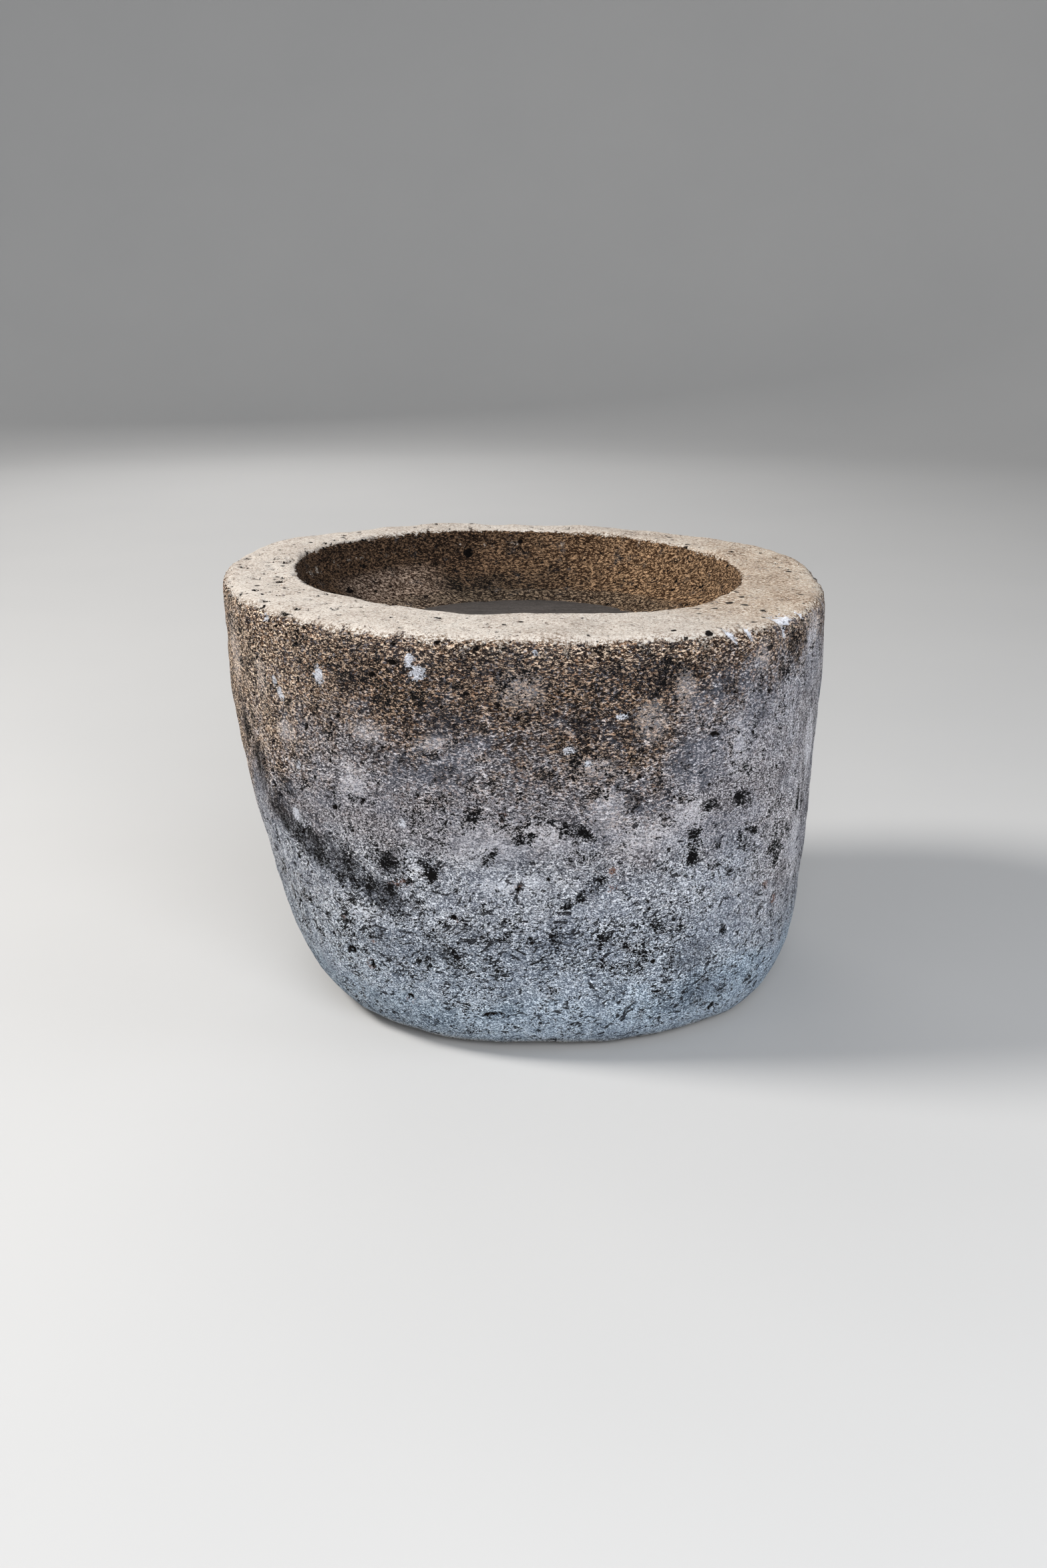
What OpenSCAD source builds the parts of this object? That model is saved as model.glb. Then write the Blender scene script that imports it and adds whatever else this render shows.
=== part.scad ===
/* [Overall] */
// Width across the rim, left to right, before the hand work
rim_x = 400; // [330:1:480]
// Depth across the rim, front to back, before the hand work
rim_y = 392; // [330:1:480]
// Height from the ground to the highest side of the rim
height = 278; // [180:1:340]

/* [Foot] */
// Width of the body at the ground, before its lower edge is rounded
foot_x = 332; // [280:1:400]
// Depth of the body at the ground, before its lower edge is rounded
foot_y = 352; // [280:1:400]
// How far the foot sits to the right of the rim
foot_shift_x = 14; // [-20:1:20]
// How far the foot sits to the back of the rim
foot_shift_y = -4; // [-20:1:20]
// Height over which the lower edge rounds under
foot_round_z = 48; // [10:1:80]
// How far the rounding draws the lower edge in
foot_round_in = 24; // [5:1:40]
// Fullness of the sides: 1 is a straight taper and 3 is a barrel
side_fullness = 2.1; // [1:0.1:3]
// Squareness of the outline seen from above: 2 is round
squareness = 2.25; // [2:0.05:2.6]

/* [Rim] */
// Width of the rim on the left
wall_left = 47; // [30:1:70]
// Width of the rim on the right
wall_right = 55; // [30:1:70]
// Width of the rim at the front
wall_front = 61; // [30:1:70]
// Width of the rim at the back
wall_back = 31; // [25:1:70]
// Radius of the worn outer edge of the rim
rim_round_out = 9; // [2:0.5:14]
// Radius of the worn inner edge of the rim
rim_round_in = 4; // [1:0.5:8]
// How much lower the rim is on its low side
rim_fall = 7; // [0:0.5:12]
// Direction of the rim's low side, counted from the right towards the back
rim_fall_angle = 0; // [-180:5:180]

/* [Hollow] */
// Depth of the carved hollow below the rim
hollow_depth = 60; // [55:1:120]
// Steepness of the hollow's side: 2 is a round bowl and 4 is a flat-bottomed dish
hollow_fullness = 2.3; // [2:0.1:4]

/* [Floor bed] */
// Depth of the bed's level surface below the rim
bed_drop = 46; // [30:1:50]

/* [Hand work] */
// Height of the slow waves that carving by hand leaves in the outline
wobble = 2.5; // [0:0.1:4]

/* [Hidden] */

// Facets around the block, and rings on each stretch of its profile
SEGMENTS = 64;
FOOT_RINGS = 6;
SIDE_RINGS = 10;
EDGE_RINGS = 4;
TOP_RINGS = 3;
WALL_RINGS = 5;
BOWL_RINGS = 5;

// Each wave: lobes around, phase at the ground, turn up to the rim, share of the wobble
WAVES = [[2, 220, -120, 0.5], [3, 60, -130, 0.8], [5, -70, 60, 0.3]];

// Colours of the weathered block and of the grey bed
STONE_COLOUR = [0.56, 0.52, 0.48];
BED_COLOUR = [0.36, 0.35, 0.34];

// The hollow's outline follows from the rim and its four wall widths
hollow_rx = (rim_x - wall_left - wall_right) / 2;
hollow_ry = (rim_y - wall_front - wall_back) / 2;
hollow_x = (wall_left - wall_right) / 2;
hollow_y = (wall_front - wall_back) / 2;
mean_radius = (rim_x + rim_y) / 4;

function angle(i) = 360 * i / SEGMENTS;

// Even steps after one value and up to another
function steps(from, to, count) = [for (j = [1 : count]) from + (to - from) * j / count];

// Cosine or sine of an angle, pushed out towards the corners of a squared outline
function squared(c) = sign(c) * pow(abs(c), 2 / squareness);

// How much the waves stretch the outline at an angle and a height
function stretch(a, z) =
    let (waves = [for (w = WAVES) w[3] * sin(w[0] * a + w[1] + w[2] * z / height)])
    1 + wobble * (waves * [for (w = WAVES) 1]) / mean_radius;

// How far the sides have widened at a height, from 0 at the ground to 1 at the rim
function flare(z) = 1 - pow(1 - z / height, side_fullness);

// How far the rounded lower edge is drawn in at a height
function drawn_in(z) =
    z >= foot_round_z ? 0 : foot_round_in * (1 - sqrt(1 - pow(1 - z / foot_round_z, 2)));

// How far the rim falls at an angle
function fall(a) = rim_fall * (1 + cos(a - rim_fall_angle)) / 2;

// How much of the hollow's width is left at a depth below the rim
function narrowing(depth) = pow(1 - pow(depth / hollow_depth, hollow_fullness), 1 / hollow_fullness);

// A ring of the outside, at a height and a distance inside the full outline
function outer_ring(z, inset) = [
    for (i = [0 : SEGMENTS - 1])
        let (a = angle(i), k = flare(z), s = stretch(a, z))
        let (rx = foot_x / 2 * (1 - k) + rim_x / 2 * k - drawn_in(z) - inset)
        let (ry = foot_y / 2 * (1 - k) + rim_y / 2 * k - drawn_in(z) - inset)
        [
            foot_shift_x * (1 - k) + rx * squared(cos(a)) * s,
            foot_shift_y * (1 - k) + ry * squared(sin(a)) * s,
            z - fall(a) * z / height
        ]
];

// A ring of the hollow, at a depth below the rim and a distance outside the full outline.
// The fall of the rim fades out towards the level of the bed.
function inner_ring(depth, outset) = [
    for (i = [0 : SEGMENTS - 1])
        let (a = angle(i), k = narrowing(depth), s = stretch(a, height))
        [
            hollow_x + (hollow_rx * k + outset) * cos(a) * s,
            hollow_y + (hollow_ry * k + outset) * sin(a) * s,
            height - depth - fall(a) * max(0, 1 - depth / bed_drop)
        ]
];

foot_rings = [
    for (t = concat(0, steps(0, 90, FOOT_RINGS)))
        outer_ring(foot_round_z * (1 - cos(t)), 0)
];
side_rings = [
    for (z = steps(foot_round_z, height - rim_round_out, SIDE_RINGS))
        outer_ring(z, 0)
];
outer_edge_rings = [
    for (t = steps(0, 90, EDGE_RINGS))
        outer_ring(height - rim_round_out * (1 - sin(t)), rim_round_out * (1 - cos(t)))
];
top_rings = [
    for (share = steps(0, 1, TOP_RINGS))
        outer_ring(height, rim_round_out) * (1 - share) + inner_ring(0, rim_round_in) * share
];
inner_edge_rings = [
    for (t = steps(0, 90, EDGE_RINGS))
        inner_ring(rim_round_in * (1 - cos(t)), rim_round_in * (1 - sin(t)))
];
wall_rings = [
    for (depth = steps(rim_round_in, bed_drop, WALL_RINGS))
        inner_ring(depth, 0)
];

// The bowl under the bed: the block and the bed share these rings, so they meet face to face
bowl_rings = [
    for (r = [0 : BOWL_RINGS - 1])
        inner_ring(bed_drop + (hollow_depth - bed_drop) * sin(90 * r / BOWL_RINGS), 0)
];
hollow_bottom = [hollow_x, hollow_y, height - hollow_depth];
bed_middle = [hollow_x, hollow_y, height - bed_drop];

block_rings = concat(
    foot_rings, side_rings, outer_edge_rings, top_rings,
    inner_edge_rings, wall_rings, [for (r = [1 : BOWL_RINGS - 1]) bowl_rings[r]]
);

// Middle of the block's outline, which is placed over the origin
outline_x = [for (r = block_rings) for (p = r) p.x];
outline_y = [for (r = block_rings) for (p = r) p.y];
middle = [(min(outline_x) + max(outline_x)) / 2, (min(outline_y) + max(outline_y)) / 2, 0];

// A closed skin through rings of points, from one end point to the other.
// Rings that go up have their solid inside them, and rings that go down need it turned.
module skin(start, rings, finish, turned = false) {
    last = len(rings) - 1;
    end_point = 1 + len(rings) * SEGMENTS;
    points = concat([start], [for (r = rings) for (p = r) p - middle], [finish]);
    sides = [
        for (r = [0 : last - 1]) for (i = [0 : SEGMENTS - 1])
            let (here = 1 + r * SEGMENTS, above = here + SEGMENTS, n = (i + 1) % SEGMENTS)
            each [[here + i, above + i, above + n], [here + i, above + n, here + n]]
    ];
    start_fan = [for (i = [0 : SEGMENTS - 1]) [0, 1 + i, 1 + (i + 1) % SEGMENTS]];
    end_ring = 1 + last * SEGMENTS;
    end_fan = [for (i = [0 : SEGMENTS - 1]) [end_point, end_ring + (i + 1) % SEGMENTS, end_ring + i]];
    faces = concat(start_fan, sides, end_fan);
    polyhedron(points, [for (f = faces) turned ? [f[2], f[1], f[0]] : f], convexity = 4);
}

// The carved block, from the middle of its foot up the outside and down into the hollow
module mortar_body() {
    color(STONE_COLOUR)
        skin([0, 0, 0], block_rings, hollow_bottom - middle);
}

// The set bed that fills the bottom of the hollow to a level surface
module floor_bed() {
    color(BED_COLOUR)
        skin(bed_middle - middle, bowl_rings, hollow_bottom - middle, turned = true);
}

mortar_body();
floor_bed();
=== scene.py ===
import math

import bmesh
import bpy
import numpy as np
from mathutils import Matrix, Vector, noise
from mathutils.bvhtree import BVHTree


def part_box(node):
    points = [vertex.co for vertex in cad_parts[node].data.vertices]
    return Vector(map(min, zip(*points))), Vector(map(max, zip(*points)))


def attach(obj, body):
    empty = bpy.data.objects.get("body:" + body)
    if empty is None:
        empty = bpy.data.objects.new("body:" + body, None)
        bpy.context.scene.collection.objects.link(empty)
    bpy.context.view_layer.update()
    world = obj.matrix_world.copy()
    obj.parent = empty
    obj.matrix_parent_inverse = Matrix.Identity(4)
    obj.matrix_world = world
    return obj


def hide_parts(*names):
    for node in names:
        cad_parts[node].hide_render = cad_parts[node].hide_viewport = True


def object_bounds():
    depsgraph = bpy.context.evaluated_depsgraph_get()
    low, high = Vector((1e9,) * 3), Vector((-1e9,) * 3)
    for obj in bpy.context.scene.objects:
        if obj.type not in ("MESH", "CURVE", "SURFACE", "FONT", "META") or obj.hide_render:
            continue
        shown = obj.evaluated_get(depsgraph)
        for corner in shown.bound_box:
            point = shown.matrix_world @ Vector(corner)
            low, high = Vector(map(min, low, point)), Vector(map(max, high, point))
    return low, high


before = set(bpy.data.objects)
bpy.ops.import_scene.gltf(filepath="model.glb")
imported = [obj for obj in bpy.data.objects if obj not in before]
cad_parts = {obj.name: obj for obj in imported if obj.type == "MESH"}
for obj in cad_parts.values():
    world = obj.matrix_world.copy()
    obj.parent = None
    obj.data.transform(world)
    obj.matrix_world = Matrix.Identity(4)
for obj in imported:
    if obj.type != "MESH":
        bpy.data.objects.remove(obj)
cad_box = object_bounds()

# ---------------------------------------------------------------------------
# Sizes, in metres. The stone's and the bed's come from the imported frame
# ---------------------------------------------------------------------------
MM = 0.001
STONE_NODE = "mortar_body"
BED_NODE = "floor_bed"
stone_low, stone_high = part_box(STONE_NODE)
bed_low, bed_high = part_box(BED_NODE)
stone_height = stone_high.z
stone_radius = (stone_high.x - stone_low.x) / 2
bed_middle = (bed_low + bed_high) / 2
bed_radius = (bed_high.x - bed_low.x) / 2

# the fine meshes
WELD_DISTANCE = 0.01 * MM
ROUNDING_LEVELS = 2
VOXEL = 2.0 * MM
SMOOTH_PASSES = 3
SMOOTH_SHARE = 0.5
RIM_SECTOR = 6                  # degrees of azimuth for which the rim's height is read

# the stone's carved relief: how large its lumps are, and how far they rise
BROAD_LUMPS = 70 * MM
BROAD_RISE = 1.2 * MM
MIDDLING_LUMPS = 26 * MM
MIDDLING_RISE = 0.8 * MM
SMALL_LUMPS = 10 * MM
SMALL_RISE = 0.5 * MM
TINY_LUMPS = 5 * MM
TINY_RISE = 0.35 * MM
EDGE_CHIPS = 16 * MM
EDGE_CRUMBS = 6 * MM
EDGE_WEAR = 2.4 * MM

# its bubbles, holes and chips
PORE_SPACING = 8.5 * MM
CAVE_SPACING = 24 * MM
LARGEST_BUBBLE = 4.5 * MM
DEEPEST_OPENING = 3 * MM
HOLE_DEPTH = 2.6 * MM
CHIP_DEPTH = 2.2 * MM

# how far below the rim's top its pale fringe and its tan dust reach, and where they are full
FRINGE_END, FRINGE_FULL = 14 * MM, 2 * MM
DUST_END, DUST_FULL = 26 * MM, 4 * MM

# the border of stone and bed, and the bed's worn top
HOLLOW_MARGIN = 4 * MM
BORDER_HEIGHT = 6 * MM
BORDER_LUMPS = 13 * MM
BORDER_RISE = 1.8 * MM
BORDER_UNEVENNESS = 1.4 * MM
BORDER_REACH = 1.2              # in bed radii
BED_SKIN = 1.5 * MM
BED_WEAR = 0.9 * MM
BED_RIDGES = 12 * MM
BED_RIDGE_RISE = 0.7 * MM
BED_LIP_LUMPS = 14 * MM

# ---------------------------------------------------------------------------
# What is where on the stone. A place is (azimuth in degrees from +X towards +Y,
# share of the stone's height); a mark adds its half width and half height in mm
# and the degrees that it leans, anticlockwise as seen from outside.
# ---------------------------------------------------------------------------
# the brown weathering ends along the first line, and the blue-grey foot starts along the second
WEATHER_LINE = [(-180, 0.46), (-165, 0.50), (-150, 0.60), (-130, 0.66), (-118, 0.71), (-105, 0.71),
                (-90, 0.68), (-80, 0.64), (-67, 0.63), (-60, 0.72), (-52, 0.79), (-40, 0.84), (-20, 0.88),
                (20, 0.80), (70, 0.66), (130, 0.56)]
BOTTOM_LINE = [(-180, 0.17), (-120, 0.16), (-90, 0.17), (-70, 0.18), (-50, 0.20), (-30, 0.20), (30, 0.20),
               (110, 0.18)]

# white lime spots, and fresh chips of the rim, which are cut in
LIME_MARKS = [(-142, 0.97, 3, 3, 0), (-140, 0.83, 3, 5, 25), (-138.5, 0.805, 3, 7, 30),
              (-128, 0.87, 5, 7, 0), (-110, 0.925, 4, 6, 0), (-108.5, 0.90, 6, 5, 20), (-82, 0.74, 6, 3, 0),
              (-79, 0.71, 4, 3, 0), (-73, 0.81, 4, 2.5, 0), (-88, 0.95, 2.5, 2.5, 0),
              (-32, 0.965, 3, 7, 10), (-49, 0.965, 3, 7, 20), (-53, 0.965, 2.5, 8, 30),
              (-138, 0.52, 5, 6, 0), (-135, 0.505, 7, 3, 20), (-135, 0.65, 3, 4, 0), (-112, 0.56, 3, 3, 0),
              (-38, 0.972, 10, 4.5, 0), (-40, 0.945, 2, 5, 0)]
# pale patches
HAZE_MARKS = [(-90, 0.87, 18, 14, 0), (-62, 0.86, 8, 14, 0), (-118, 0.76, 14, 8, 0),
              (-122, 0.64, 12, 16, 0), (-106, 0.75, 12, 6, 10), (-51, 0.71, 9, 26, 0),
              (-46, 0.91, 9, 12, 0), (-88, 0.54, 34, 12, 0), (-97, 0.52, 28, 20, 0), (-68, 0.53, 28, 16, 0),
              (-75, 0.60, 14, 18, 0), (-158, 0.86, 14, 30, 0), (-145, 0.83, 9, 16, 0),
              (-122, 0.32, 18, 9, 0), (-28, 0.42, 16, 34, 0), (-24, 0.64, 12, 24, 0),
              (-27, 0.92, 16, 22, 0), (-90, 0.43, 34, 8, 0), (-60, 0.58, 20, 12, 0), (-110, 0.45, 9, 7, 0),
              (-68, 0.80, 12, 16, 0), (-78, 0.70, 18, 8, 0), (-138, 0.72, 12, 8, 0)]
# clusters of black lichen
BLACK_MARKS = [(-90, 0.54, 9, 4.5, 10), (-81, 0.56, 9, 5, -25), (-78.5, 0.545, 5, 4, -35),
               (-95, 0.51, 4.5, 3, 35), (-96, 0.487, 5, 4, 10), (-77, 0.43, 7, 6, 20),
               (-79, 0.405, 6, 4, 45), (-82, 0.385, 5, 3, 40), (-84, 0.30, 3.5, 8, 0),
               (-107, 0.45, 5, 5, 0), (-85, 0.58, 2.5, 2, 0), (-56, 0.59, 7, 4, 10), (-49, 0.59, 8, 5, 0),
               (-59, 0.53, 5, 2.5, 0), (-49, 0.50, 3, 3, 0), (-45, 0.50, 3, 3, 0), (-59, 0.47, 3, 5, 0),
               (-54, 0.49, 3, 3, 0), (-29, 0.52, 3, 9, 0), (-26, 0.50, 2.5, 8, 0), (-51, 0.27, 3, 6, 0),
               (-108, 0.47, 4, 6, 0), (-122, 0.60, 3, 3, 0)]
# dark patches
DARK_MARKS = [(-121, 0.86, 22, 9, 0), (-114, 0.70, 34, 10, -12), (-104, 0.68, 16, 8, 0),
              (-104, 0.80, 26, 14, 0), (-80, 0.80, 20, 11, 0), (-66, 0.965, 34, 5, 0),
              (-55, 0.86, 13, 11, 0), (-71, 0.62, 11, 9, 0), (-62, 0.70, 11, 14, 0), (-57, 0.25, 22, 10, 0),
              (-46, 0.79, 8, 20, 0), (-108, 0.91, 16, 10, 0), (-92, 0.76, 16, 7, 0), (-95, 0.94, 30, 7, 0),
              (-130, 0.47, 20, 12, 0), (-106, 0.26, 14, 8, 0), (-66, 0.90, 44, 12, 0),
              (-54, 0.13, 44, 16, 0), (-60, 0.22, 30, 10, 0), (-140, 0.60, 16, 12, 0)]
# the dark band that slants down from the left
BAND_MARKS = [(-158, 0.68, 10, 18, 0), (-151, 0.60, 14, 18, 0), (-143, 0.51, 22, 14, -20),
              (-134, 0.46, 28, 14, -25), (-126, 0.43, 26, 14, -25), (-118, 0.39, 26, 11, -20),
              (-115, 0.46, 10, 9, 0)]
# rust spots
RUST_MARKS = [(-94, 0.59, 3, 3, 0), (-91, 0.42, 3, 3, 0), (-103, 0.35, 3, 3, 0), (-74, 0.46, 3, 3, 0),
              (-74, 0.42, 3, 2.5, 0), (-121, 0.20, 4, 4, 0), (-113, 0.13, 4, 4, 0),
              (-113, 0.42, 7, 2.5, 10), (-127, 0.30, 3, 3, 0), (-120, 0.26, 3, 2, 0), (-40, 0.35, 4, 5, 0),
              (-36, 0.30, 3, 5, 0)]
# where chisel strokes crowd together
CRACKLE_MARKS = [(-120, 0.29, 22, 14, 0), (-110, 0.27, 26, 16, 0), (-98, 0.27, 30, 18, 0),
                 (-86, 0.28, 30, 16, 0), (-76, 0.27, 26, 16, 0), (-66, 0.31, 22, 16, 0)]
# open holes and gouges
HOLES = [(-120, 0.60, 2.4, 2.4, 0), (-113, 0.92, 3.5, 2.2, 0), (-113, 0.96, 2.2, 2.2, 0),
         (-91, 0.81, 2.0, 2.0, 0), (-98, 0.96, 2.0, 2.0, 0), (-56, 0.75, 4.0, 2.0, 0),
         (-69, 0.72, 2.4, 1.8, 0), (-126, 0.22, 3.8, 3.8, 0), (-87, 0.06, 2.2, 2.2, 0),
         (-50, 0.07, 3.4, 4.0, 0), (-96, 0.11, 9.0, 1.3, 5), (-150, 0.45, 1.6, 14.0, 10),
         (-94, 0.59, 2.4, 2.0, 0), (-91, 0.42, 2.4, 2.0, 0), (-103, 0.35, 2.6, 2.0, 0),
         (-121, 0.20, 2.6, 2.6, 0), (-113, 0.13, 2.6, 2.6, 0), (-117, 0.89, 3.0, 2.0, 0),
         (-105, 0.97, 2.2, 1.6, 0)]

# how much each side has of something: (azimuth, weight from 0 to 1)
LEFT_SIDE = [(-180, 1), (-148, 1), (-118, 0), (120, 0), (160, 1)]
# the right side, where the wall gets painted light, and streaks
RIGHT_SIDE = [(-180, 0), (-52, 0), (-36, 1), (20, 1), (50, 0)]
# the side where the hollow's wall faces the light from the left and gets painted light
INNER_RIGHT_SIDE = [(-180, 0), (-60, 0), (0, 1), (50, 1), (110, 0)]
INNER_PATCH_SIDE = [(112, 0), (126, 1), (144, 1), (156, 0)]
COARSE_RIM_SIDE = [(-180, 0), (-60, 0), (-35, 1), (30, 1), (80, 0)]
RIM_WEAR = [(-180, 1.0), (-140, 0.8), (-110, 0.45), (-60, 0.40), (-20, 0.55), (90, 0.6)]


# ---------------------------------------------------------------------------
# Meshes
# ---------------------------------------------------------------------------
def weld(mesh):
    """Joins the facets' doubled corners, so that the skin is one closed surface."""
    shape = bmesh.new()
    shape.from_mesh(mesh)
    bmesh.ops.remove_doubles(shape, verts=shape.verts, dist=WELD_DISTANCE)
    bmesh.ops.recalc_face_normals(shape, faces=shape.faces)
    shape.to_mesh(mesh)
    shape.free()


def link(name, data):
    """Puts a mesh, light or camera in the scene as a new object."""
    holder = bpy.data.objects.new(name, data)
    bpy.context.scene.collection.objects.link(holder)
    return holder


def fine_copy(node, name):
    """A smooth copy of a CAD node in even, small quads."""
    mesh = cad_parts[node].data.copy()
    weld(mesh)
    piece = link(name, mesh)
    rounded = piece.modifiers.new("rounded", "SUBSURF")
    rounded.levels = ROUNDING_LEVELS
    rounded.render_levels = ROUNDING_LEVELS
    even = piece.modifiers.new("even", "REMESH")
    even.mode = "VOXEL"
    even.voxel_size = VOXEL
    soft = piece.modifiers.new("soft", "SMOOTH")
    soft.factor = SMOOTH_SHARE
    soft.iterations = SMOOTH_PASSES
    evaluated = piece.evaluated_get(bpy.context.evaluated_depsgraph_get())
    piece.data = bpy.data.meshes.new_from_object(evaluated)
    piece.modifiers.clear()
    piece.data.materials.clear()
    piece.data.name = name
    return piece


def read_points(mesh):
    points = np.empty(len(mesh.vertices) * 3)
    mesh.vertices.foreach_get("co", points)
    return points.reshape(-1, 3)


def read_normals(mesh):
    normals = np.empty(len(mesh.vertices) * 3, np.float32)
    mesh.vertex_normals.foreach_get("vector", normals)
    return normals.reshape(-1, 3).astype(float)


def write_points(mesh, points):
    mesh.vertices.foreach_set("co", points.ravel())
    mesh.update()


def write_value(mesh, name, values):
    """Keeps one number per vertex, for the material to read."""
    layer = mesh.attributes.new(name, "FLOAT", "POINT")
    layer.data.foreach_set("value", np.asarray(values, np.float32))


def write_colour(mesh, name, colours):
    """Keeps one colour per vertex, for the material to read."""
    layer = mesh.attributes.new(name, "FLOAT_COLOR", "POINT")
    solid = np.ones((len(colours), 4), np.float32)
    solid[:, :3] = colours
    layer.data.foreach_set("color", solid.ravel())


# ---------------------------------------------------------------------------
# Fields over the points of a mesh
# ---------------------------------------------------------------------------
LUMP_SEED_SHIFT = 17.3
BUBBLE_SEED_SHIFT = 9.7
BUBBLE_CHANCE_SCALE = 7.0
OCTAVE_FADE = 1.0
OCTAVE_STEP = 2.0


def ease(low, high, values):
    """0 at low, 1 at high, which may be the smaller, and a smooth step between them."""
    share = np.clip((values - low) / (high - low), 0, 1)
    return share * share * (3 - 2 * share)


def lumps(points, size, seed, octaves, stretch=(1, 1, 1)):
    """Smooth noise, mostly from -1 to 1, with lumps about `size` across."""
    spots = points * stretch / size + seed * LUMP_SEED_SHIFT
    return np.array([noise.fractal(spot, OCTAVE_FADE, OCTAVE_STEP, octaves) for spot in spots.tolist()])


def bubbles(points, spacing, seed, swell):
    """The stone's open bubbles, up to the largest radius times each point's swell.

    Returns how far each point lies inside the nearest bubble, which is below 0 outside it,
    and how deep the bubble cuts in there."""
    inside = np.zeros(len(points))
    depth = np.zeros(len(points))
    for index, spot in enumerate((points / spacing + seed * BUBBLE_SEED_SHIFT).tolist()):
        distances, centres = noise.voronoi(spot)
        chance = 0.5 + 0.5 * noise.cell(centres[0] * BUBBLE_CHANCE_SCALE)
        radius = LARGEST_BUBBLE / spacing * chance * swell[index]
        inside[index] = (radius - distances[0]) * spacing
        depth[index] = math.sqrt(max(0.0, radius * radius - distances[0] * distances[0])) * spacing
    return inside, depth


class Wall:
    """The smooth outer wall, on which marks are placed."""

    def __init__(self, mesh):
        self.points = read_points(mesh)
        faces = [tuple(face.vertices) for face in mesh.polygons]
        self.tree = BVHTree.FromPolygons([tuple(point) for point in self.points], faces)

    def spot(self, azimuth, share):
        """The point of the wall at that azimuth and share of the height."""
        turn = math.radians(azimuth)
        outward = Vector((math.cos(turn), math.sin(turn), 0))
        start = outward * stone_radius * 2 + Vector((0, 0, share * stone_height))
        return self.tree.ray_cast(start, -outward)[0]

    def offsets(self, azimuth, share, lean):
        """Each point's place from a spot: across and up in the mark's leaning axes, and in depth."""
        turn = math.radians(azimuth)
        slope = math.radians(lean)
        away = self.points - np.array(self.spot(azimuth, share))
        across = -away[:, 0] * math.sin(turn) + away[:, 1] * math.cos(turn)
        deep = away[:, 0] * math.cos(turn) + away[:, 1] * math.sin(turn)
        up = away[:, 2]
        leaning_across = across * math.cos(slope) + up * math.sin(slope)
        leaning_up = up * math.cos(slope) - across * math.sin(slope)
        return leaning_across, leaning_up, deep

    def marks(self, places):
        """How near each point is to the nearest mark's middle: 1 there, 0 at its edge, below 0 outside."""
        nearness = np.full(len(self.points), -1.0)
        for azimuth, share, half_width, half_height, lean in places:
            across, up, deep = self.offsets(azimuth, share, lean)
            reach = np.hypot(across / (half_width * MM), up / (half_height * MM))
            reach = np.hypot(reach, deep / ((half_width + half_height) * MM))
            nearness = np.maximum(nearness, 1 - reach)
        return nearness


# ---------------------------------------------------------------------------
# The stone's colours: dark, middle and light grains of each zone, and a gain
# that allows for how much light the zone gets
# ---------------------------------------------------------------------------
def tone(red, green, blue, gain=1.0):
    """A screen colour from 0 to 255 as the linear colour that shaders take, by the sRGB curve."""
    return np.array([((value / 255 + 0.055) / 1.055) ** 2.4 for value in (red, green, blue)]) * gain


def palette(dark, middle, light, gain):
    return np.array([tone(*dark, gain), tone(*middle, gain), tone(*light, gain)])


BROWN_WALL = palette((17, 11, 8), (88, 69, 57), (214, 184, 158), 0.58)
TAN_WALL = palette((27, 17, 12), (146, 119, 100), (244, 222, 198), 1.10)
GREY_WALL = palette((40, 38, 41), (134, 130, 134), (236, 232, 236), 0.73)
# the right side's blue-grey stone, made brighter than the grey wall as painted light from the right
RIGHT_WALL_PAINTED_LIGHT = palette((44, 42, 46), (132, 128, 130), (222, 220, 224), 1.12)
LOWER_WALL = palette((60, 62, 70), (152, 157, 166), (240, 243, 249), 0.98)
CRACKLE_WALL = palette((44, 46, 53), (134, 139, 149), (236, 240, 247), 0.93)
BOTTOM_WALL = palette((62, 72, 84), (134, 149, 163), (206, 218, 229), 1.16)
# the hollow's brown stone, darkened overall with painted shade of the hollow
INNER_WALL_AND_PAINTED_SHADE = palette((22, 15, 10), (76, 56, 42), (122, 96, 74), 0.68)
# painted light: a lighter, golden copy of the hollow's wall, for its side that faces the light from the left
INNER_RIGHT_PAINTED_LIGHT = palette((52, 34, 20), (130, 98, 70), (196, 160, 124), 0.66)
# painted shade: a darker copy for the lower wall of the hollow, away from the side that faces the light
INNER_LOW_PAINTED_SHADE = palette((14, 11, 9), (58, 48, 39), (112, 94, 76), 0.50)
BED_CRUST = palette((46, 36, 28), (104, 88, 72), (168, 148, 126), 0.55)
INNER_PATCH = palette((52, 38, 30), (142, 116, 98), (190, 168, 150), 0.75)
UNDERSIDE = palette((60, 58, 56), (128, 124, 118), (176, 172, 166), 1.0)
CREAM_RIM = palette((128, 108, 90), (220, 208, 196), (250, 242, 232), 0.575)
TAN_RIM = palette((96, 70, 50), (204, 182, 160), (252, 244, 230), 0.60)
BED_TOP = palette((48, 42, 38), (74, 67, 63), (100, 92, 87), 0.42)

# single colours of the stone's grains, stains and marks
ORANGE_GRAIN = tone(150, 116, 90)
BLUISH_GRAIN = tone(122, 122, 130)
STAIN = tone(30, 26, 27)
HAZE = tone(204, 204, 210)
COOL_TINT = tone(132, 142, 160)
CRACK = tone(18, 16, 19)
RUST = tone(120, 74, 44)
LIME_SHADE = tone(150, 152, 164)
LIME_LIGHT = tone(240, 242, 248)
LICHEN = tone(7, 6, 7)
# painted shade inside the pits and holes
OPENING_PAINTED_SHADE = tone(14, 10, 8)

# the attributes that carry a zone's palette
TONE_NAMES = ("tone_dark", "tone_middle", "tone_light")


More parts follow.
